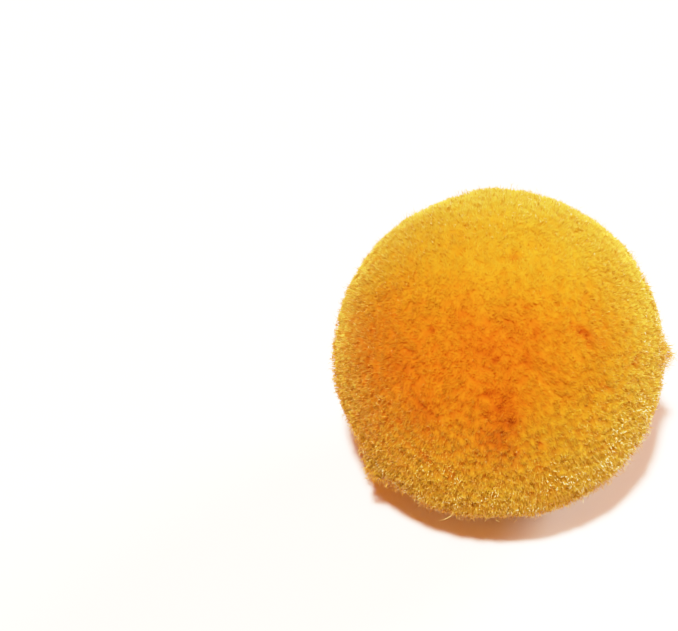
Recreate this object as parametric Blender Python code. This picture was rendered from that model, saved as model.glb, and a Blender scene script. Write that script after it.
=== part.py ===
"""Yarn pom pom: a ball of cut yarn locks that fan out from one packed middle.

Run it with blender --background --python part.py, or from Blender's text editor.
Metres, +Z up. The origin is on the table, under the middle of the ball.
"""

import math

import bmesh
import bpy
import numpy as np
from mathutils import Vector

# The ball
BALL_RADIUS = 0.0325        # middle to the cut ends
PACKED_RADIUS = 0.0290      # the packed middle, where the locks are still fused
SETTLE = 0.0021             # how far the ball sinks into its own pile on a table
TRIM_UNEVEN = 0.0006        # the most that the scissors left a lock too long or too short

# The locks: each triangle between three neighbouring centres is shared by three locks
LOCK_CENTRES = 50
CENTRE_JITTER = 0.07        # of the angle between neighbours
EVENING_PASSES = 4
EVENING = 0.5               # how far a pass moves each corner towards its neighbours' middle
CELL_JITTER = 0.20          # of the width of a lock's cell
LOCK_TWIST = math.radians(4)
THINNEST = 0.93             # the thinnest lock beside the plumpest
SEED = 20

# A lock from its root to its cut end: how far along it, and how much of its cell it fills
LOCK_SECTIONS = (
    {"name": "root", "along": 0.00, "fills": 0.86},
    {"name": "neck", "along": 0.40, "fills": 0.88},
    {"name": "shoulder", "along": 0.80, "fills": 0.76},
    {"name": "cut_end", "along": 1.00, "fills": 0.44},
)

# Where the outline leaves the round: turn round the ball, rise above level, height, and width in radians
OUTLINE = (
    {"name": "right_tuft", "turn_deg": 2, "rise_deg": 1, "proud": 0.0009, "reach": 0.18},
    {"name": "low_front_tuft", "turn_deg": 212, "rise_deg": -29, "proud": 0.0011, "reach": 0.18},
    {"name": "crown_tuft", "turn_deg": 95, "rise_deg": 46, "proud": 0.0005, "reach": 0.16},
    {"name": "trimmed_shoulder", "turn_deg": 37, "rise_deg": 32, "proud": -0.0006, "reach": 0.40},
)

MIDDLE = Vector((0.0, 0.0, BALL_RADIUS - SETTLE))
YARN_COLOUR = (0.80, 0.38, 0.02, 1.0)
YARN_ROUGHNESS = 0.9


def clear_scene():
    for thing in list(bpy.data.objects):
        bpy.data.objects.remove(thing)


def yarn_material():
    """Matte marigold yarn."""
    material = bpy.data.materials.new("marigold_yarn")
    material.use_nodes = True
    shader = material.node_tree.nodes["Principled BSDF"]
    shader.inputs["Base Color"].default_value = YARN_COLOUR
    shader.inputs["Roughness"].default_value = YARN_ROUGHNESS
    shader.inputs["Metallic"].default_value = 0.0
    return material


def direction(turn_deg, rise_deg):
    turn, rise = math.radians(turn_deg), math.radians(rise_deg)
    return Vector((math.cos(turn) * math.cos(rise), math.sin(turn) * math.cos(rise), math.sin(rise)))


def lock_centres(rng):
    """Points spread evenly over a unit ball on a golden-angle spiral, each nudged a little."""
    step = np.arange(LOCK_CENTRES)
    height = 1 - (2 * step + 1) / LOCK_CENTRES
    turn = step * math.pi * (3 - math.sqrt(5))
    flat = np.sqrt(1 - height**2)
    points = np.stack([flat * np.cos(turn), flat * np.sin(turn), height], 1)
    between = math.sqrt(4 * math.pi / LOCK_CENTRES)
    points += rng.normal(0, CENTRE_JITTER * between, points.shape)
    return points / np.linalg.norm(points, axis=1)[:, None]


def cell_mesh(rng):
    """A unit ball covered by four-sided cells, one for each lock, with one cell right underneath."""
    hull = bmesh.new()
    for point in lock_centres(rng):
        hull.verts.new(point)
    bmesh.ops.convex_hull(hull, input=hull.verts)
    triangles = bpy.data.meshes.new("triangles")
    hull.to_mesh(triangles)
    hull.free()

    carrier = bpy.data.objects.new("triangles", triangles)
    bpy.context.scene.collection.objects.link(carrier)
    split = carrier.modifiers.new("split", "SUBSURF")
    split.levels = 1
    split.render_levels = 1
    bpy.context.view_layer.update()
    evaluated = carrier.evaluated_get(bpy.context.evaluated_depsgraph_get())
    cells = bmesh.new()
    cells.from_mesh(evaluated.to_mesh())
    evaluated.to_mesh_clear()
    bpy.data.objects.remove(carrier)

    for _ in range(EVENING_PASSES):
        bmesh.ops.smooth_vert(
            cells, verts=cells.verts, factor=EVENING, use_axis_x=True, use_axis_y=True, use_axis_z=True
        )
        for vert in cells.verts:
            vert.co.normalize()
    width = math.sqrt(4 * math.pi / len(cells.faces))
    for vert in cells.verts:
        vert.co = (vert.co + Vector(rng.uniform(-1, 1, 3)) * CELL_JITTER * width).normalized()
    lowest = min(cells.faces, key=lambda face: face.calc_center_median().z)
    turn = lowest.calc_center_median().normalized().rotation_difference(Vector((0, 0, -1)))
    bmesh.ops.rotate(cells, verts=cells.verts, cent=(0, 0, 0), matrix=turn.to_matrix())
    return cells


def lock_radius(way, trim):
    """How far from the middle a lock reaches in this direction, before the table stops it."""
    radius = BALL_RADIUS + trim
    for place in OUTLINE:
        away = way.angle(direction(place["turn_deg"], place["rise_deg"]))
        radius += place["proud"] * math.exp(-((away / place["reach"]) ** 2))
    return radius


def down_to_table(way, radius):
    """The same reach, or less where the lock would go through the table."""
    if way.z >= 0:
        return radius
    return min(radius, MIDDLE.z / -way.z)


def grow_locks(cells, rng):
    """Draws each cell out along its own direction, section by section, into one lock."""
    number = cells.faces.layers.int.new("lock")
    locks = list(cells.faces)
    plans = []
    for face in locks:
        face[number] = len(plans)
        centre = face.calc_center_median().normalized()
        plans.append({
            "centre": centre,
            "corners": [vert.co.copy() for vert in face.verts],
            "trim": rng.uniform(-TRIM_UNEVEN, TRIM_UNEVEN),
            "twist": rng.uniform(-LOCK_TWIST, LOCK_TWIST),
            "plump": rng.uniform(THINNEST, 1),
        })
    for vert in cells.verts:
        vert.co = vert.co * PACKED_RADIUS
    for section in LOCK_SECTIONS:
        locks = bmesh.ops.extrude_discrete_faces(cells, faces=locks)["faces"]
        for face in locks:
            shape_section(face, plans[face[number]], section)


def shape_section(face, plan, section):
    """Places one ring of a lock, whose four points fan out from the middle of the ball."""
    fill = section["fills"] * plan["plump"]
    turn = plan["twist"] * section["along"]
    for vert, corner in zip(face.verts, plan["corners"]):
        offset = corner - plan["centre"]
        offset = math.cos(turn) * offset + math.sin(turn) * plan["centre"].cross(offset)
        way = (plan["centre"] + fill * offset).normalized()
        tip = down_to_table(way, lock_radius(plan["centre"], plan["trim"]))
        vert.co = way * (PACKED_RADIUS + section["along"] * (tip - PACKED_RADIUS))


def build_pom_pom():
    rng = np.random.default_rng(SEED)
    cells = cell_mesh(rng)
    grow_locks(cells, rng)
    spread = np.array([vert.co for vert in cells.verts])
    sideways = (spread.max(0) + spread.min(0)) / 2
    shift = Vector((-sideways[0], -sideways[1], MIDDLE.z))
    bmesh.ops.translate(cells, verts=cells.verts, vec=shift)
    bmesh.ops.recalc_face_normals(cells, faces=cells.faces)

    mesh = bpy.data.meshes.new("pom_pom")
    cells.to_mesh(mesh)
    cells.free()
    mesh.materials.append(yarn_material())
    ball = bpy.data.objects.new("pom_pom", mesh)
    bpy.context.scene.collection.objects.link(ball)
    return ball


clear_scene()
build_pom_pom()
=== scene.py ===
import math
import bpy
import numpy as np
from mathutils import Matrix, Vector


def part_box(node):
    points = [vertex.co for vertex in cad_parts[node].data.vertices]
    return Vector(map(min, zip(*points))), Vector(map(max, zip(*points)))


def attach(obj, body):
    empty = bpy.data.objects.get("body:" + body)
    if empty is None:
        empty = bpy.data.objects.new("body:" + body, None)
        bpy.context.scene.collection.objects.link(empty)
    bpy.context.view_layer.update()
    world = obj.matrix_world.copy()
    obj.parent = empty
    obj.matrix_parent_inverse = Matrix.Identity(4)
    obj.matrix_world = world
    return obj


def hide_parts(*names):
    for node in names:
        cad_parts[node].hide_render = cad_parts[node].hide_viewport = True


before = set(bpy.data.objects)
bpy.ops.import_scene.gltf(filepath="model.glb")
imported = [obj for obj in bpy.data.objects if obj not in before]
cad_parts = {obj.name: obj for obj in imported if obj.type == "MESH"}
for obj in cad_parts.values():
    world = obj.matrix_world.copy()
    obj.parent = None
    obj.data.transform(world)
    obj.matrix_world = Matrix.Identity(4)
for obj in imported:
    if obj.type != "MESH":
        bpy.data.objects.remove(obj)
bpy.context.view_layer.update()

# The ball as the frame gives it: it rests on the table at z = 0, with its middle over the origin
boxLow, boxHigh = (np.array(corner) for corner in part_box("pom_pom"))
ball = {
    "radius": 0.0325,           # middle to the trimmed ends
    "settle": 0.0021,           # how far it sinks into its own pile
    "floorGap": 0.00006,        # what lies on the table stays this far above it
    "swell": 0.00026,           # height of the broad swells in its trimmed surface
    "swellWave": (3, 9, 2.5, 5.5),   # seed, number of waves, lowest and highest pitch
    "ripple": 0.00012,          # and of the finer ones
    "rippleWave": (4, 14, 9, 16),
}
middle = np.array([0.0, 0.0, ball["radius"] - ball["settle"]])
print("frame: box of", np.round((boxHigh - boxLow) * 1000, 1), "mm")

scene = bpy.context.scene


# Small helpers

def unit(points):
    # each point divided by its own length
    return points / np.linalg.norm(points, axis=-1, keepdims=True)


def direction(turnDeg, riseDeg):
    # a unit vector: the turn goes round the ball from +X, the rise goes up from level
    turn, rise = np.radians(turnDeg), np.radians(riseDeg)
    return np.stack([np.cos(turn) * np.cos(rise), np.sin(turn) * np.cos(rise), np.sin(rise)], -1)


def spiralBall(count):
    # point k is at height 1 - (2k + 1) / count and has turned k golden angles
    step = np.arange(count)
    height = 1 - (2 * step + 1) / count
    turn = step * math.pi * (3 - math.sqrt(5))
    flat = np.sqrt(1 - height**2)
    return np.stack([flat * np.cos(turn), flat * np.sin(turn), height], 1)


def sideVectors(ways):
    # two unit vectors square to each way and to each other
    helper = np.where(np.abs(ways[:, 2:]) < 0.9, [[0.0, 0.0, 1.0]], [[1.0, 0.0, 0.0]])
    first = unit(np.cross(helper, ways))
    return first, np.cross(ways, first)


def wave(ways, seed, count, lowest, highest):
    # a smooth uneven field over the ball: the sum of sine waves of random heading and pitch,
    # divided by the root of their count
    rng = np.random.default_rng(seed)
    heading = unit(rng.normal(size=(count, 3)))
    pitch = rng.uniform(lowest, highest, count)
    phase = rng.uniform(0, 2 * math.pi, count)
    return np.sin((ways @ heading.T) * pitch + phase).sum(1) / math.sqrt(count)


def evenOut(ways, apart, passes):
    # each pass pushes every point away from those nearer than two spacings, more the nearer they are
    for _ in range(passes):
        dots = ways @ ways.T
        gap = np.sqrt(np.clip(2 - 2 * dots, 1e-12, None))
        push = np.clip(1 - gap / (2 * apart), 0, None) ** 2 / gap
        np.fill_diagonal(push, 0)
        moved = ways * push.sum(1)[:, None] - push @ ways
        ways = unit(ways + 0.35 * apart * moved / 1.2)
    return ways


def nearest(ways, centres, chunk=20000):
    # the index of the closest centre to each way, and the sine of the angle between them
    index = np.empty(len(ways), int)
    cosine = np.empty(len(ways))
    for start in range(0, len(ways), chunk):
        dots = ways[start:start + chunk] @ centres.T
        best = dots.argmax(1)
        index[start:start + chunk] = best
        cosine[start:start + chunk] = dots[np.arange(len(best)), best]
    return index, np.sqrt(np.clip(1 - cosine**2, 0, 1))


def reach(ways, wanted):
    # the wanted distance from the middle, or less where that would go through the table
    down = np.maximum(-ways[:, 2], 1e-6)
    return np.minimum(wanted, (middle[2] - ball["floorGap"]) / down)


def makeMesh(name, points, faces, uv=None):
    # points in metres, faces all of one number of corners, uv one pair for each corner of each face
    mesh = bpy.data.meshes.new(name)
    corners = faces.shape[1]
    mesh.vertices.add(len(points))
    mesh.loops.add(faces.size)
    mesh.polygons.add(len(faces))
    mesh.vertices.foreach_set("co", points.astype(np.float32).ravel())
    mesh.loops.foreach_set("vertex_index", faces.astype(np.int32).ravel())
    mesh.polygons.foreach_set("loop_start", np.arange(0, faces.size, corners, dtype=np.int32))
    mesh.update(calc_edges=True)
    mesh.shade_smooth()
    if uv is not None:
        layer = mesh.uv_layers.new(name="OFBake")
        layer.data.foreach_set("uv", uv.astype(np.float32).ravel())
    mesh.validate()
    piece = bpy.data.objects.new(name, mesh)
    scene.collection.objects.link(piece)
    return piece


def soften(piece, share, tuft=None):
    # each corner's shading normal = its own normal, drawn by this share towards the way out of the ball,
    # which first leans away from its tuft's middle, so that a tuft is shaded as one round lump
    mesh = piece.data
    own = np.empty(3 * len(mesh.vertices), np.float32)
    points = np.empty(3 * len(mesh.vertices), np.float32)
    mesh.vertex_normals.foreach_get("vector", own)
    mesh.vertices.foreach_get("co", points)
    outward = unit(points.reshape(-1, 3) - middle)
    if tuft is not None:
        lump = (outward - tuftPlan["ways"][tuft]) / (0.5 * tuftPlan["apart"])
        lean = tufts["round"] + (tufts["roundBrushed"] - tufts["round"]) * calm(outward)
        outward = unit(outward + lean[:, None] * lump)
    mesh.normals_split_custom_set_from_vertices(unit((1 - share) * own.reshape(-1, 3) + share * outward))


# The yarn: its own orange-yellow, painted darker and redder as painted shade from the cut ends, v = 1, down
# to the foot of the pile, v = 0

pileYarn = {
    "depthColours": [
        (0.00, (0.33, 0.042, 0.0010)),
        (0.22, (0.54, 0.112, 0.0030)),
        (0.50, (0.56, 0.200, 0.0060)),
        (0.80, (0.61, 0.325, 0.0145)),
        (1.00, (0.84, 0.560, 0.0680)),
    ],
    "darkest": 0.50,            # how dark u = 0 is beside u = 1
    "roughness": 0.60,
    "specular": 0.01,
    "sheen": 0.80,
}

# Fibres that work loose are thin and glossier; their ramp has painted shade towards the foot like the pile's,
# and its top, v = 1, is a painted glint, so their tips are painted paler
looseYarn = {
    "depthColours": [
        (0.00, (0.50, 0.095, 0.0006)),
        (0.50, (0.62, 0.240, 0.0040)),
        (0.80, (0.72, 0.430, 0.0350)),
        # painted glint: the paler colour a loose fibre's tip is painted
        (1.00, (1.00, 0.900, 0.4200)),
    ],
    "darkest": 0.50,
    "roughness": 0.22,
    "specular": 1.0,
    "sheen": 0.30,
}

# The same on both yarns
sheenRoughness = 0.5
sheenTint = (1.0, 0.74, 0.10, 1.0)
glintTint = (1.0, 0.86, 0.50, 1.0)


def yarnMaterial(name, look):
    # base colour = ramp of v, made lighter or darker by u
    material = bpy.data.materials.new(name)
    material.use_nodes = True
    nodes, links = material.node_tree.nodes, material.node_tree.links
    shader = nodes["Principled BSDF"]
    shader.inputs["Roughness"].default_value = look["roughness"]
    shader.inputs["Specular IOR Level"].default_value = look["specular"]
    shader.inputs["Sheen Weight"].default_value = look["sheen"]
    shader.inputs["Specular Tint"].default_value = glintTint
    shader.inputs["Sheen Roughness"].default_value = sheenRoughness
    shader.inputs["Sheen Tint"].default_value = sheenTint
    coords = nodes.new("ShaderNodeUVMap")
    coords.uv_map = "OFBake"
    split = nodes.new("ShaderNodeSeparateXYZ")
    links.new(coords.outputs["UV"], split.inputs["Vector"])
    ramp = nodes.new("ShaderNodeValToRGB")
    stops = ramp.color_ramp.elements
    for place, _ in look["depthColours"][1:-1]:
        stops.new(place)
    for stop, (place, colour) in zip(stops, look["depthColours"]):
        stop.position = place
        stop.color = (*colour, 1.0)
    links.new(split.outputs["Y"], ramp.inputs["Fac"])
    tone = nodes.new("ShaderNodeMapRange")
    tone.inputs["To Min"].default_value = look["darkest"]
    links.new(split.outputs["X"], tone.inputs["Value"])
    scale = nodes.new("ShaderNodeVectorMath")
    scale.operation = "SCALE"
    links.new(ramp.outputs["Color"], scale.inputs[0])
    links.new(tone.outputs["Result"], scale.inputs["Scale"])
    links.new(scale.outputs["Vector"], shader.inputs["Base Color"])
    return material


pileFinish = yarnMaterial("marigoldYarn", pileYarn)
looseFinish = yarnMaterial("marigoldFuzz", looseYarn)


def dress(piece, finish):
    piece.data.materials.append(finish)
    print(piece.name, len(piece.data.polygons), "triangles")


# The trimmed surface: nearly round, with a few tufts that stand out and creases where the pile parts

# Turn and rise in degrees, how far it stands out in metres, and how wide it is in radians
outline = [
    {"name": "rightTuft", "turnDeg": 2, "riseDeg": -1, "proud": 0.0017, "spread": 0.070},
    {"name": "lowFrontTuft", "turnDeg": 214, "riseDeg": -28.5, "proud": 0.0021, "spread": 0.060},
    {"name": "lowFrontNotch", "turnDeg": 225, "riseDeg": -36, "proud": -0.0007, "spread": 0.10},
    {"name": "crownTuft", "turnDeg": 95, "riseDeg": 46, "proud": 0.0005, "spread": 0.14},
    {"name": "trimmedShoulder", "turnDeg": 46, "riseDeg": 36, "proud": -0.0005, "spread": 0.26},
    {"name": "trimmedLeft", "turnDeg": 199, "riseDeg": -19, "proud": -0.0009, "spread": 0.16},
    {"name": "trimmedFront", "turnDeg": -86, "riseDeg": -46, "proud": -0.0008, "spread": 0.26},
]

# Slant from level in degrees, length and width in radians, depth and sideways push in metres,
# and painted shade: how far down the pile's colours it is painted there, darker and redder; a negative value
# paints light
# The broad rows paint shade over wide areas, some with a slight real dip, and the two with a negative value
# paint light; the creases and pits are real dips, painted darker inside as painted shade
partings = [
    {"name": "rightCrease", "turnDeg": -48, "riseDeg": 45, "slantDeg": -64, "long": 0.072, "wide": 0.030,
     "deep": 0.0004, "push": 0.0005, "paintedShade": 0.32},
    {"name": "frontCrease", "turnDeg": -89.5, "riseDeg": 22, "slantDeg": 87, "long": 0.300, "wide": 0.130,
     "deep": 0.0005, "push": 0.0004, "paintedShade": 0.25},
    {"name": "frontPitUpper", "turnDeg": -91.5, "riseDeg": 27.5, "slantDeg": 85, "long": 0.046, "wide": 0.020,
     "deep": 0.0004, "push": 0.0004, "paintedShade": 0.13},
    {"name": "frontPitLower", "turnDeg": -88.5, "riseDeg": 20, "slantDeg": 80, "long": 0.044, "wide": 0.022,
     "deep": 0.0004, "push": 0.0004, "paintedShade": 0.14},
    {"name": "frontPitLeft", "turnDeg": -92.0, "riseDeg": 15.5, "slantDeg": 60, "long": 0.034, "wide": 0.019,
     "deep": 0.0004, "push": 0.0004, "paintedShade": 0.10},
    {"name": "middlePit", "turnDeg": -95, "riseDeg": 43, "slantDeg": 40, "long": 0.024, "wide": 0.016,
     "deep": 0.0008, "push": 0.0004, "paintedShade": 0.35},
    {"name": "leftPit", "turnDeg": -131, "riseDeg": 47, "slantDeg": -50, "long": 0.022, "wide": 0.014,
     "deep": 0.0008, "push": 0.0004, "paintedShade": 0.35},
    {"name": "upperPit", "turnDeg": -73, "riseDeg": 52, "slantDeg": 50, "long": 0.040, "wide": 0.022,
     "deep": 0.0006, "push": 0.0004, "paintedShade": 0.22},
    {"name": "sidePit", "turnDeg": -29, "riseDeg": 24, "slantDeg": 10, "long": 0.044, "wide": 0.028,
     "deep": 0.0008, "push": 0.0005, "paintedShade": 0.38},
    {"name": "slopeCrease", "turnDeg": -48, "riseDeg": 24, "slantDeg": -55, "long": 0.080, "wide": 0.020,
     "deep": 0.0007, "push": 0.0006, "paintedShade": 0.26},
    {"name": "lowerPit", "turnDeg": -97, "riseDeg": 31, "slantDeg": 25, "long": 0.050, "wide": 0.020,
     "deep": 0.0006, "push": 0.0004, "paintedShade": 0.25},
    {"name": "lowCrease", "turnDeg": -77, "riseDeg": 11, "slantDeg": -60, "long": 0.060, "wide": 0.024,
     "deep": 0.0007, "push": 0.0006, "paintedShade": 0.24},
    {"name": "crownSpot", "turnDeg": -73, "riseDeg": 80, "slantDeg": 0, "long": 0.036, "wide": 0.026,
     "deep": 0.0006, "push": 0.0004, "paintedShade": 0.35},
    {"name": "shadedRight", "turnDeg": -37, "riseDeg": 43, "slantDeg": 0, "long": 0.24, "wide": 0.20,
     "deep": 0.0002, "push": 0.0, "paintedShade": 0.14},
    {"name": "shadedFront", "turnDeg": -99, "riseDeg": 48, "slantDeg": 0, "long": 0.60, "wide": 0.35,
     "deep": 0.0005, "push": 0.0, "paintedShade": 0.32},
    {"name": "shadedLow", "turnDeg": -112, "riseDeg": 16, "slantDeg": -12, "long": 0.46, "wide": 0.26,
     "deep": 0.0002, "push": 0.0, "paintedShade": 0.25},
    {"name": "shadedLowLeft", "turnDeg": -142, "riseDeg": -3, "slantDeg": 0, "long": 0.26, "wide": 0.20,
     "deep": 0.0, "push": 0.0, "paintedShade": 0.20},
    {"name": "litLowRight", "turnDeg": -51, "riseDeg": -7, "slantDeg": 0, "long": 0.36, "wide": 0.24,
     "deep": 0.0, "push": 0.0, "paintedShade": -0.11},
    {"name": "litBack", "turnDeg": 62, "riseDeg": 68, "slantDeg": 0, "long": 0.55, "wide": 0.32,
     "deep": 0.0, "push": 0.0, "paintedShade": -0.13},
    {"name": "shadedFarLeft", "turnDeg": 178, "riseDeg": 4, "slantDeg": 0, "long": 0.50, "wide": 0.40,
     "deep": 0.0, "push": 0.0, "paintedShade": 0.18},
    {"name": "shadedLeft", "turnDeg": -154, "riseDeg": 22, "slantDeg": 0, "long": 0.46, "wide": 0.46,
     "deep": 0.0003, "push": 0.0, "paintedShade": 0.24},
]

# Small creases all over the ball, at random, each painted darker inside as painted shade
smallPartings = {
    "count": 150,
    "jitter": 0.08,
    "long": (0.025, 0.07),
    "wide": (0.016, 0.029),
    "deep": 0.0008,
    "push": 0.0006,
    "paintedShade": 0.37,
    "share": (0.35, 1.0),       # how much of the depth, push and shade each one gets
    "calmed": 0.60,             # and how much less on the brushed half
    "mottle": 0.035,            # a random uneven tone between them, added to the painted shade
    "mottleWave": (61, 20, 12, 28),
    "seed": 5,
}


def allPartings():
    # the named partings, then small ones on a jittered spiral, each with its own slant and size
    rng = np.random.default_rng(smallPartings["seed"])
    nudge = rng.normal(0, smallPartings["jitter"], (smallPartings["count"], 3))
    ways = unit(spiralBall(smallPartings["count"]) + nudge)
    rows = list(partings)
    for way in ways:
        share = rng.uniform(*smallPartings["share"]) * (1 - smallPartings["calmed"] * calm(way[None])[0])
        rows.append({
            "turnDeg": math.degrees(math.atan2(way[1], way[0])), "riseDeg": math.degrees(math.asin(way[2])),
            "slantDeg": rng.uniform(0, 180), "long": rng.uniform(*smallPartings["long"]),
            "wide": rng.uniform(*smallPartings["wide"]), "deep": smallPartings["deep"] * share,
            "push": smallPartings["push"] * share, "paintedShade": smallPartings["paintedShade"] * share,
        })
    return rows


def parted(ways):
    # near each crease's line, as a bell curve: how far the pile is lowered, pushed aside, and painted darker
    # as painted shade (lighter, as painted light, where negative), over a random mottle of tone
    lower, push = np.zeros(len(ways)), np.zeros((len(ways), 3))
    paintedShade = smallPartings["mottle"] * wave(ways, *smallPartings["mottleWave"])
    for crease in allPartings():
        centre = direction(crease["turnDeg"], crease["riseDeg"])
        near = np.flatnonzero(ways @ centre > math.cos(min(3 * crease["long"], 1.2)))
        level = unit(np.cross([0, 0, 1.0], centre))
        upward = np.cross(centre, level)
        slant = math.radians(crease["slantDeg"])
        line = math.cos(slant) * level + math.sin(slant) * upward
        cross = math.cos(slant) * upward - math.sin(slant) * level
        along, off = ways[near] @ line / crease["long"], ways[near] @ cross / crease["wide"]
        here = np.exp(-along**2 - off**2)
        lower[near] += crease["deep"] * here
        paintedShade[near] += crease["paintedShade"] * here
        push[near] += (crease["push"] * off * here)[:, None] * cross
    return lower, push, paintedShade


def trimmed(ways):
    # the ball's radius plus broad swells, a finer unevenness and the tufts of the outline
    radius = ball["radius"] + ball["swell"] * wave(ways, *ball["swellWave"])
    radius = radius + ball["ripple"] * wave(ways, *ball["rippleWave"])
    for place in outline:
        away = np.arccos(np.clip(ways @ direction(place["turnDeg"], place["riseDeg"]), -1, 1))
        radius += place["proud"] * np.exp(-(away / place["spread"])**2)
    return radius


# The upper half is brushed smooth, and the lower half is left rougher, with more painted shade in its gaps
# and a paler tone painted on as painted light
brushed = {
    "from": 0.10,               # height on a unit ball where the brushing starts
    "full": 0.55,               # and where it is complete
    "tilt": -0.15,              # how much lower it reaches on the left
    "evenness": 0.45,           # how much of the unevenness it takes away
    "fading": 0.68,             # how much it draws the pile's colours together, weakening their painted shade
    "tone": 0.655,               # towards this v
    "roughFading": 0.40,        # and the same two where the pile is left rough; its higher tone paints the pile paler and yellower as painted light
    "roughTone": 0.88,
    "paintedGapShade": 0.11,                # painted shade: how much u falls towards the foot of the pile and the edge of a tuft
    "roughPaintedGapShade": 0.68,
    "fibreTones": 0.34,         # how much u differs from tuft to tuft and from fibre to fibre
}


def calm(ways):
    # a smooth step of the height, from 0 where the pile is rough to 1 where it is brushed
    height = ways[:, 2] + brushed["tilt"] * ways[:, 0]
    share = np.clip((height - brushed["from"]) / (brushed["full"] - brushed["from"]), 0, 1)
    return share**2 * (3 - 2 * share)


def faded(depth, still):
    # v drawn towards one tone, which weakens the painted shade, so that the gaps between fibres aren't
    # painted much darker than their tips
    tone = brushed["roughTone"] + (brushed["tone"] - brushed["roughTone"]) * still
    fading = brushed["roughFading"] + (brushed["fading"] - brushed["roughFading"]) * still
    return tone + (depth - tone) * (1 - fading)


def toneAndPaintedShade(tone, depth, out, still):
    # u from a fibre's own random tone, lowered by painted shade towards the foot of the pile and the edge of
    # its tuft, most where the pile is rough
    paintedGapShade = brushed["roughPaintedGapShade"] + (brushed["paintedGapShade"] - brushed["roughPaintedGapShade"]) * still
    u = 1 - brushed["fibreTones"] * (1 - tone) - paintedGapShade * (0.4 * (1 - depth) + 0.6 * out**2)
    return np.clip(u, 0.02, 0.98)


# The cut ends: each is one end of yarn, which blooms into a tuft of fibres

tufts = {
    "count": 2650,
    "jitter": 0.45,             # of the distance between neighbours, before they are evened out
    "passes": 5,
    "uneven": 0.00040,          # how far the scissors left an end too long or too short
    "lean": 0.00028,            # how far neighbouring ends lean together, in metres
    "leanWaves": [(11, 16, 10, 24), (12, 16, 10, 24)],
    "round": 0.52,              # how far the shading leans out at a tuft's edge
    "roundBrushed": 0.26,
    "seed": 7,
}


def placeTufts():
    rng = np.random.default_rng(tufts["seed"])
    apart = math.sqrt(4 * math.pi / tufts["count"])
    ways = spiralBall(tufts["count"])
    ways = unit(ways + rng.normal(0, tufts["jitter"] * apart, ways.shape))
    ways = evenOut(ways, apart, tufts["passes"])
    first, second = sideVectors(ways)
    lean = np.stack([wave(ways, *row) for row in tufts["leanWaves"]], 1) * tufts["lean"]
    return {
        "ways": ways, "first": first, "second": second, "lean": lean, "apart": apart,
        "uneven": rng.uniform(-1, 1, len(ways)) * tufts["uneven"] * (1 - brushed["evenness"] * calm(ways)),
        "tone": rng.uniform(0, 1, len(ways)),
    }


tuftPlan = placeTufts()
print("tufts:", tufts["count"])


# The pile bed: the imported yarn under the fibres, one closed lumpy skin

bed = {
    "around": 360,
    "upDown": 180,
    "below": 0.00085,           # how far the lumps' tops lie under the cut ends
    "valley": 0.00064,          # and how much deeper the valleys between them are
    "valleyEvening": 0.4,       # how much shallower they get where the evenness is full
    "lumpReach": 0.62,          # where a valley lies, as a share of the distance between tufts
    "warp": 0.30,               # how wavy the valleys are, as a share of a lump's width
    "warpSeeds": (31, 32, 33),
    "warpWave": (12, 35, 75),
    "topShade": 0.52,           # v on a lump's top and in a valley, lower in the valley as painted shade
    "valleyShade": 0.18,
    "soft": 0.70,
}


def makeBed():
    # a ball of rings: each point lies out along its way, less a dip that grows with the distance to its tuft
    turn = np.linspace(0, 2 * math.pi, bed["around"], endpoint=False)
    fall = np.arange(1, bed["upDown"]) * math.pi / bed["upDown"]
    ringTurn, ringFall = np.meshgrid(turn, fall)
    flat = np.sin(ringFall)
    ways = np.stack([np.cos(ringTurn) * flat, np.sin(ringTurn) * flat, np.cos(ringFall)], -1)
    ways = np.vstack([ways.reshape(-1, 3), [[0, 0, 1.0]], [[0, 0, -1.0]]])
    warp = np.stack([wave(ways, seed, *bed["warpWave"]) for seed in bed["warpSeeds"]], 1)
    index, sine = nearest(unit(ways + bed["warp"] * tuftPlan["apart"] * 0.5 * warp), tuftPlan["ways"])
    out = np.clip(sine / (tuftPlan["apart"] * bed["lumpReach"]), 0, 1)
    lower, _, paintedShade = parted(ways)
    still = calm(ways)
    dip = bed["valley"] * out**2 * (1 - bed["valleyEvening"] * brushed["evenness"] * still)
    radius = trimmed(ways) - lower + tuftPlan["uneven"][index] - bed["below"] - dip
    points = middle + ways * reach(ways, radius)[:, None]
    rows, cols = bed["upDown"] - 1, bed["around"]
    grid = np.arange(rows * cols).reshape(rows, cols)
    after = np.roll(grid, -1, 1)
    skin = np.stack([grid[:-1], grid[1:], after[1:], after[:-1]], -1).reshape(-1, 4)
    top = np.stack([np.full(cols, rows * cols), grid[0], after[0]], -1)
    bottom = np.stack([np.full(cols, rows * cols + 1), after[-1], grid[-1]], -1)
    faces = np.vstack([skin[:, [0, 1, 2]], skin[:, [0, 2, 3]], top, bottom])
    # painted shade: v falls from a lump's top to the valley around it
    depth = bed["topShade"] + (bed["valleyShade"] - bed["topShade"]) * out**2
    tone = toneAndPaintedShade(tuftPlan["tone"][index], depth, out, still)
    uv = np.stack([tone, np.clip(faded(depth, still) - paintedShade, 0.02, 1)], 1)[faces]
    piece = makeMesh("pileBed", points, faces, uv)
    soften(piece, bed["soft"])
    return piece


pileBed = makeBed()
dress(pileBed, pileFinish)
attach(pileBed, "root")
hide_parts("pom_pom")


# The pile: every fibre is a closed spindle, pointed at its root and its tip, with three corners at its bend

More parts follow.
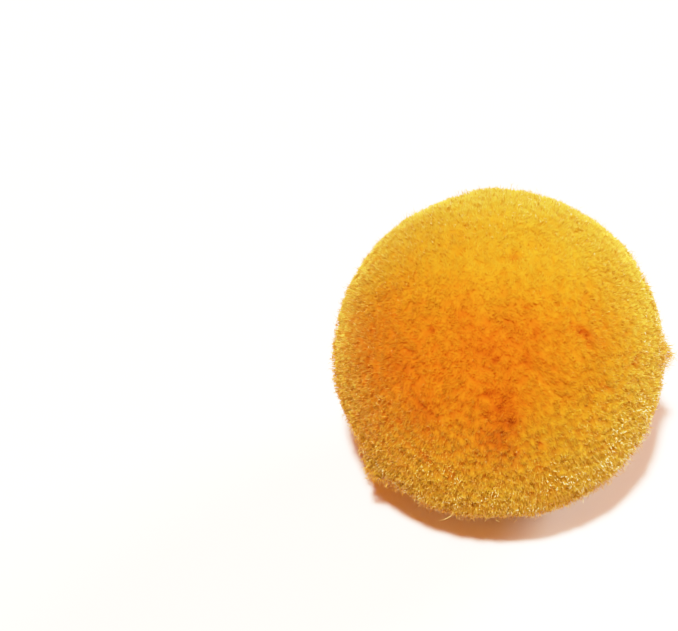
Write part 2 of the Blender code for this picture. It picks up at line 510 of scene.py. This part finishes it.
pile = {
    "fibresPerTuft": 45,
    "buried": 0.00050,          # how far a root lies inside the bed
    "bendDepth": 0.00055,
    "rootSpread": 0.00112,
    "bendSpread": 0.00120,
    "tipSpread": 0.00148,
    "dome": 0.00056,            # how much lower a tuft's outer fibres end
    "domeRough": 0.35,          # how much more so where the pile is rough
    "curl": 0.00026,
    "rootUneven": 0.00006,
    "bendUneven": 0.00012,
    "tipUneven": 0.00020,
    "tipCalmed": 0.5,           # how much more even the tips are on the brushed half
    "tipProud": 0.0001,         # how far the tallest tips stand over the tuft's end
    "tuftTone": 0.75,           # how much of a fibre's tone is its tuft's, and not its own
    "halfWidth": 0.000072,
    "soft": 0.92,               # how far the shading follows the ball and not the single fibre
    "colourDepth": 0.0017,      # the depth at which the pile's painted shade is darkest
    "uvHalf": 0.002,
    "seed": 21,
    "pieces": 5,
}


def spindles(name, root, bend, tip, halfWidth, tones, depths):
    # root point, a ring of three corners round the bend point, and tip point, joined by six triangles
    count = len(root)
    along = unit(tip - root)
    first, second = sideVectors(along)
    spin = np.random.default_rng(count).uniform(0, 2 * math.pi, count)
    ring = []
    for third in range(3):
        angle = (spin + third * 2 * math.pi / 3)[:, None]
        ring.append(bend + halfWidth[:, None] * (np.cos(angle) * first + np.sin(angle) * second))
    points = np.stack([root, *ring, tip], 1).reshape(-1, 3)
    points[:, 2] = np.maximum(points[:, 2], ball["floorGap"])
    pattern = np.array([[0, 2, 1], [0, 3, 2], [0, 1, 3], [4, 1, 2], [4, 2, 3], [4, 3, 1]])
    faces = (pattern[None] + 5 * np.arange(count)[:, None, None]).reshape(-1, 3)
    sideways = np.array([0, -1, 0, 1, 0])[None] * pile["uvHalf"]
    u = tones[[0, 1, 1, 1, 2]].T + sideways
    v = depths[[0, 1, 1, 1, 2]].T
    uv = np.stack([u, v], -1).reshape(-1, 2)[faces]
    return makeMesh(name, points, faces, uv)


def makePile():
    rng = np.random.default_rng(pile["seed"])
    plan = tuftPlan
    count = len(plan["ways"])
    owner = np.repeat(np.arange(count), pile["fibresPerTuft"])
    total = len(owner)
    out = np.sqrt(rng.uniform(0, 1, total))
    turn = rng.uniform(0, 2 * math.pi, total)
    across = np.stack([out * np.cos(turn), out * np.sin(turn)], 1)
    first, second, lean = plan["first"][owner], plan["second"][owner], plan["lean"][owner]
    centre = plan["ways"][owner] * ball["radius"]
    start = unit(centre + pile["tipSpread"] * (across[:, :1] * first + across[:, 1:] * second))
    lower, push, paintedShade = parted(start)
    top = trimmed(plan["ways"])[owner] + plan["uneven"][owner] - lower

    def place(spread, depth, stray, bent):
        # this far under the tuft's end, moved sideways by its place in the tuft, its curl,
        # the lean and the crease
        side = across * spread + rng.normal(0, stray, (total, 2)) + lean * bent
        way = unit(centre + first * side[:, :1] + second * side[:, 1:] + push * bent)
        return middle + way * reach(way, top - depth)[:, None]

    still = calm(start)
    dome = pile["dome"] * out**2 * (1 + pile["domeRough"] - (pile["domeRough"] + brushed["evenness"]) * still)
    rootDepth = bed["below"] + bed["valley"] * out**2 + pile["buried"]
    bendDepth = pile["bendDepth"] + dome + rng.normal(0, pile["bendUneven"], total)
    short = np.abs(rng.normal(0, pile["tipUneven"], total)) * (1 - pile["tipCalmed"] * still)
    tipDepth = dome + short - pile["tipProud"]
    root = place(pile["rootSpread"], rootDepth, pile["rootUneven"], 0.0)
    bend = place(pile["bendSpread"], bendDepth, 0.4 * pile["curl"], 0.5)
    tip = place(pile["tipSpread"], tipDepth, pile["curl"], 1.0)
    halfWidth = pile["halfWidth"] * rng.uniform(0.7, 1.3, total)
    tone = pile["tuftTone"] * plan["tone"][owner] + (1 - pile["tuftTone"]) * rng.uniform(0, 1, total)
    # painted shade: v falls with depth under the tuft's end, so the deeper parts of a fibre are painted
    # darker and redder
    depths = 1 - np.stack([rootDepth, bendDepth, tipDepth]) / pile["colourDepth"]
    tones = toneAndPaintedShade(tone, depths, out, still)
    depths = np.clip(faded(depths, still) - paintedShade, 0.02, 1)
    made = []
    for band in range(pile["pieces"]):
        chosen = (owner * pile["pieces"] // count) == band
        piece = spindles(
            f"pile{band + 1}", root[chosen], bend[chosen], tip[chosen],
            halfWidth[chosen], tones[:, chosen], depths[:, chosen],
        )
        soften(piece, pile["soft"], np.repeat(owner[chosen], 5))
        made.append(piece)
    return made


for piece in makePile():
    dress(piece, pileFinish)
    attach(piece, "root")
    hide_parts("pom_pom")


# The fuzz: single fibres that have worked loose and stand out past the trimmed surface

fuzz = {
    "count": 32500,             # before they are thinned out over the bare face
    "jitter": 0.02,
    "face": (-93, 47),          # turn and rise of the place where hardly any stand out
    "faceEdge": (0.58, 0.86),   # cosine of the angle from there, at the outer and the inner edge
    "faceKeeps": 0.08,
    "topKeeps": 0.40,           # on the brushed half
    "rootDepth": 0.0011,
    "stand": 0.00022,           # how far a usual one stands out
    "tallest": 0.0013,
    "drift": 0.00012,           # how far it wanders sideways, and more the taller it stands
    "driftPerStand": 0.6,
    "wander": 0.00016,
    "halfWidth": 0.000050,
    "glintPaintWidth": 0.85,          # how much thicker the fibres with the most painted glint are
    "strays": 500,              # longer ones round the two tufts that stand out most
    "straySpread": 0.07,
    "strayStand": 0.0006,
    "clumped": 0.75,            # how much taller and shorter they stand in clumps
    "clumpWave": (51, 24, 18, 46),
    "shortest": 0.15,
    "glint": 0.92,              # painted glint: how much paler their tips are painted, and how much it differs from clump to clump
    "glintClumps": 0.55,
    "glintWave": (52, 24, 16, 38),
    "glintRange": (0.25, 1.5),
    "topDulls": 0.45,           # how much less painted glint they get on the brushed half
    "faceDulls": 0.8,           # over the bare face
    "underDulls": 0.25,         # and what is left of it on the underside
    "underEdge": (-0.74, -0.44),   # height on a unit ball where that starts and ends
    "depths": (0.30, 0.58, 0.74),  # v of a dull one at its root, bend and tip
    "creaseShade": 0.8,
    "soft": 0.15,
    "seed": 44,
}


def makeFuzz():
    rng = np.random.default_rng(fuzz["seed"])
    even = spiralBall(fuzz["count"]) + rng.normal(0, fuzz["jitter"], (fuzz["count"], 3))
    homes = [direction(place["turnDeg"], place["riseDeg"]) for place in outline[:2]]
    strays = np.repeat(homes, fuzz["strays"] // 2, 0)
    strays = strays + rng.normal(0, fuzz["straySpread"], (fuzz["strays"], 3))
    ways = unit(np.vstack([even, strays]))
    outer, inner = fuzz["faceEdge"]
    bare = np.clip((ways @ direction(*fuzz["face"]) - outer) / (inner - outer), 0, 1)
    keeps = (1 - (1 - fuzz["faceKeeps"]) * bare) * (1 - (1 - fuzz["topKeeps"]) * calm(ways))
    kept = rng.uniform(0, 1, len(ways)) < keeps
    usual = np.where(np.arange(len(ways)) < fuzz["count"], fuzz["stand"], fuzz["strayStand"])[kept]
    ways = ways[kept]
    total = len(ways)
    print("loose fibres:", total)
    clump = np.clip(1 + fuzz["clumped"] * wave(ways, *fuzz["clumpWave"]), fuzz["shortest"], None)
    stand = np.minimum(rng.exponential(1, total) * usual * clump, fuzz["tallest"] + usual - fuzz["stand"])
    lower, _, paintedShade = parted(ways)
    top = trimmed(ways) - lower
    first, second = sideVectors(ways)
    heading = rng.uniform(0, 2 * math.pi, total)[:, None]
    sideways = np.cos(heading) * first + np.sin(heading) * second
    drift = sideways * (fuzz["drift"] + fuzz["driftPerStand"] * stand[:, None])
    stray = rng.normal(0, fuzz["wander"], (total, 3))

    def place(height, share, wander):
        # this far above the trimmed surface, carried along the fibre's own heading
        way = unit(ways * ball["radius"] + drift * share + stray * wander)
        return middle + way * reach(way, top + height)[:, None]

    root = place(-fuzz["rootDepth"], -0.2, 0)
    bend = place(stand * 0.6 - 0.00005, 0.5, 1)
    tip = place(stand, 1.1, -1)
    tones = np.repeat(1 - brushed["fibreTones"] * rng.uniform(0, 1, (1, total)), 3, 0)

    # the painted glint goes from 0, dull, to 1, a fully paler tip and bend: a random share, less where the
    # yarn is brushed or bare, more and less from clump to clump, and little underneath
    glintPaint = rng.uniform(0, 1, total) ** 2
    glintPaint *= (1 - fuzz["topDulls"] * calm(ways)) * (1 - fuzz["faceDulls"] * bare[kept])
    glintPaint *= np.clip(fuzz["glint"] + fuzz["glintClumps"] * wave(ways, *fuzz["glintWave"]), *fuzz["glintRange"])
    under, level = fuzz["underEdge"]
    glintPaint *= np.clip((ways[:, 2] - under) / (level - under), fuzz["underDulls"], 1)
    glintPaint = np.minimum(glintPaint, 1)
    rootV, bendV, tipV = fuzz["depths"]
    depths = np.stack([np.full(total, rootV), bendV + (1 - bendV) * glintPaint, tipV + (1 - tipV) * glintPaint])
    # the loose fibres take most of the painted shade of the creases
    depths = np.clip(depths - fuzz["creaseShade"] * paintedShade, 0.02, 1)
    halfWidth = fuzz["halfWidth"] * (rng.uniform(0.7, 1.1, total) + fuzz["glintPaintWidth"] * glintPaint)
    return spindles("looseFibres", root, bend, tip, halfWidth, tones, depths)


looseFibres = makeFuzz()
dress(looseFibres, looseFinish)
soften(looseFibres, fuzz["soft"])
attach(looseFibres, "root")
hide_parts("pom_pom")


# Stray hairs: a few long ones hang out of the lower edge, each a curve from its root past its bend to its tip

# Turn and rise of the root in degrees, and where the bend and the tip lie from it, in metres
strayHairs = [
    {"name": "longCurl", "turnDeg": -108, "riseDeg": -32, "bend": (-0.0008, -0.0010, -0.0012),
     "tip": (-0.0033, -0.0014, -0.0015)},
    {"name": "notchLeft", "turnDeg": -134, "riseDeg": -37, "bend": (0.0002, -0.0006, -0.0007),
     "tip": (0.0010, -0.0011, -0.0012)},
    {"name": "notchRight", "turnDeg": -125, "riseDeg": -29, "bend": (-0.0002, -0.0006, -0.0006),
     "tip": (-0.0002, -0.0011, -0.0011)},
    {"name": "underTuft", "turnDeg": -146, "riseDeg": -32, "bend": (0.0000, -0.0008, -0.0009),
     "tip": (0.0006, -0.0014, -0.0015)},
]
hairShape = {"steps": 9, "halfWidth": 0.000055, "buried": 0.0006, "toneAndDepth": (0.9, 0.86)}


def makeHairs():
    # along each hair t goes from 0 to 1: point = root + 2 t (1 - t) bend + t squared tip,
    # with a ring of three corners round it
    t = np.linspace(0, 1, hairShape["steps"])[:, None]
    points, faces = [], []
    for row in strayHairs:
        way = direction(row["turnDeg"], row["riseDeg"])
        root = middle + way * (trimmed(way[None])[0] - hairShape["buried"])
        path = root + 2 * t * (1 - t) * np.array(row["bend"]) + t**2 * np.array(row["tip"])
        first, second = sideVectors(unit(np.gradient(path, axis=0)))
        thick = hairShape["halfWidth"] * (1.02 - t**3)
        start = sum(len(ring) for ring in points)
        turns = [2 * math.pi * third / 3 for third in range(3)]
        rings = [path + thick * (math.cos(turn) * first + math.sin(turn) * second) for turn in turns]
        points.append(np.stack(rings, 1).reshape(-1, 3))
        for low in range(start, start + 3 * (hairShape["steps"] - 1), 3):
            for side in range(3):
                here, beside = low + side, low + (side + 1) % 3
                faces += [(here, beside, beside + 3), (here, beside + 3, here + 3)]
        last = start + 3 * (hairShape["steps"] - 1)
        faces += [(start, start + 2, start + 1), (last, last + 1, last + 2)]
    faces = np.array(faces)
    uv = np.full((len(faces), 3, 2), hairShape["toneAndDepth"])
    return makeMesh("strayHairs", np.vstack(points), faces, uv)


hairPiece = makeHairs()
dress(hairPiece, looseFinish)
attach(hairPiece, "root")
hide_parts("pom_pom")


# The studio: a pale table, light from above the camera, a low light behind, and the photograph's camera

studio = {
    "floorHalf": 1.5,
    "floorColour": (0.89, 0.82, 0.76, 1.0),
    "floorRoughness": 0.75,
    "floorSpecular": 0.2,
    "fillColour": (0.72, 0.130, 0.003, 1.0),
    "horizonColour": (1.1, 1.1, 1.1, 1.0),
    "horizonRise": (0.08, 0.16),    # up to the first the backdrop is pale, from the second it is the fill
    "lights": [
        {"name": "frontLight", "turnDeg": -103, "riseDeg": 66, "softDeg": 5, "strength": 7.7,
         "colour": (1.0, 1.0, 1.0)},
        {"name": "rimLight", "turnDeg": 36, "riseDeg": 19, "softDeg": 24, "strength": 4.0,
         "colour": (0.90, 1.05, 1.08)},
        {"name": "leftBounce", "turnDeg": 196, "riseDeg": 4, "softDeg": 50, "strength": 0.8,
         "colour": (1.0, 0.40, 0.02)},
        {"name": "sideFill", "turnDeg": -30, "riseDeg": 3, "softDeg": 40, "strength": 1.9,
         "colour": (1.0, 0.88, 0.62)},
    ],
}

# The camera's response: linear light up to twice white comes out along a soft shoulder
response = {
    "white": 2.1,
    "shoulder": [(0.0, 0.0), (0.12, 0.235), (0.25, 0.46), (0.45, 0.72), (0.65, 0.87), (1.0, 1.0)],
}

photoView = {
    "width": 678,
    "height": 631,
    "ballPixel": (497.6, 354.8),
    "ballRadiusPixels": 165.9,
    "focalPixels": 2762.0,
    "riseDeg": 44.23,
    "turnDeg": 0.38,
    "sensor": 36.0,
}


def setResponse():
    look = scene.view_settings
    look.view_transform = "Standard"
    look.use_curve_mapping = True
    mapping = look.curve_mapping
    mapping.white_level = (response["white"],) * 3
    curve = mapping.curves[3]
    for place, value in response["shoulder"][1:-1]:
        curve.points.new(place, value)
    curve.points[0].location = response["shoulder"][0]
    curve.points[-1].location = response["shoulder"][-1]
    mapping.update()


def makeStudio():
    half = studio["floorHalf"]
    corners = np.array([[-half, -half, 0], [half, -half, 0], [half, half, 0], [-half, half, 0.0]])
    floor = makeMesh("table", corners, np.array([[0, 1, 2, 3]]))
    material = bpy.data.materials.new("whiteTable")
    material.use_nodes = True
    shader = material.node_tree.nodes["Principled BSDF"]
    shader.inputs["Base Color"].default_value = studio["floorColour"]
    shader.inputs["Roughness"].default_value = studio["floorRoughness"]
    shader.inputs["Specular IOR Level"].default_value = studio["floorSpecular"]
    floor.data.materials.append(material)

    world = bpy.data.worlds.new("studioWorld")
    scene.world = world
    world.use_nodes = True
    nodes, links = world.node_tree.nodes, world.node_tree.links
    way = nodes.new("ShaderNodeTexCoord")
    height = nodes.new("ShaderNodeSeparateXYZ")
    links.new(way.outputs["Generated"], height.inputs["Vector"])
    rise = nodes.new("ShaderNodeMapRange")
    rise.interpolation_type = "SMOOTHSTEP"
    rise.inputs["From Min"].default_value, rise.inputs["From Max"].default_value = studio["horizonRise"]
    links.new(height.outputs["Z"], rise.inputs["Value"])
    sky = nodes.new("ShaderNodeMix")
    sky.data_type = "RGBA"
    sky.inputs["A"].default_value = studio["horizonColour"]
    sky.inputs["B"].default_value = studio["fillColour"]
    links.new(rise.outputs["Result"], sky.inputs["Factor"])
    links.new(sky.outputs["Result"], nodes["Background"].inputs["Color"])

    for row in studio["lights"]:
        lamp = bpy.data.lights.new(row["name"], "SUN")
        lamp.angle = math.radians(row["softDeg"])
        lamp.energy = row["strength"]
        lamp.color = row["colour"]
        light = bpy.data.objects.new(row["name"], lamp)
        towards = Vector(direction(row["turnDeg"], row["riseDeg"]))
        light.location = towards
        light.rotation_euler = (-towards).to_track_quat("-Z", "Y").to_euler()
        scene.collection.objects.link(light)


def makeCamera():
    # the ball's size in the photograph gives the distance, and its place there gives the sideways shift
    view = photoView
    rise, turn = math.radians(view["riseDeg"]), math.radians(view["turnDeg"])
    back = Vector((math.sin(turn) * math.cos(rise), -math.cos(turn) * math.cos(rise), math.sin(rise)))
    turned = (-back).to_track_quat("-Z", "Y").to_matrix()
    depth = view["focalPixels"] * ball["radius"] / view["ballRadiusPixels"]
    right = (view["ballPixel"][0] - view["width"] / 2) * depth / view["focalPixels"]
    up = (view["height"] / 2 - view["ballPixel"][1]) * depth / view["focalPixels"]
    place = Vector(middle) - turned @ Vector((right, up, -depth))
    lens = bpy.data.cameras.new("photoCamera")
    lens.sensor_fit = "HORIZONTAL"
    lens.sensor_width = view["sensor"]
    lens.lens = view["focalPixels"] * view["sensor"] / view["width"]
    lens.clip_start = 0.01
    lens.clip_end = 10
    camera = bpy.data.objects.new("photoCamera", lens)
    camera.matrix_world = Matrix.Translation(place) @ turned.to_4x4()
    scene.collection.objects.link(camera)
    scene.camera = camera


setResponse()
makeStudio()
makeCamera()
print("studio: table, lights and camera")
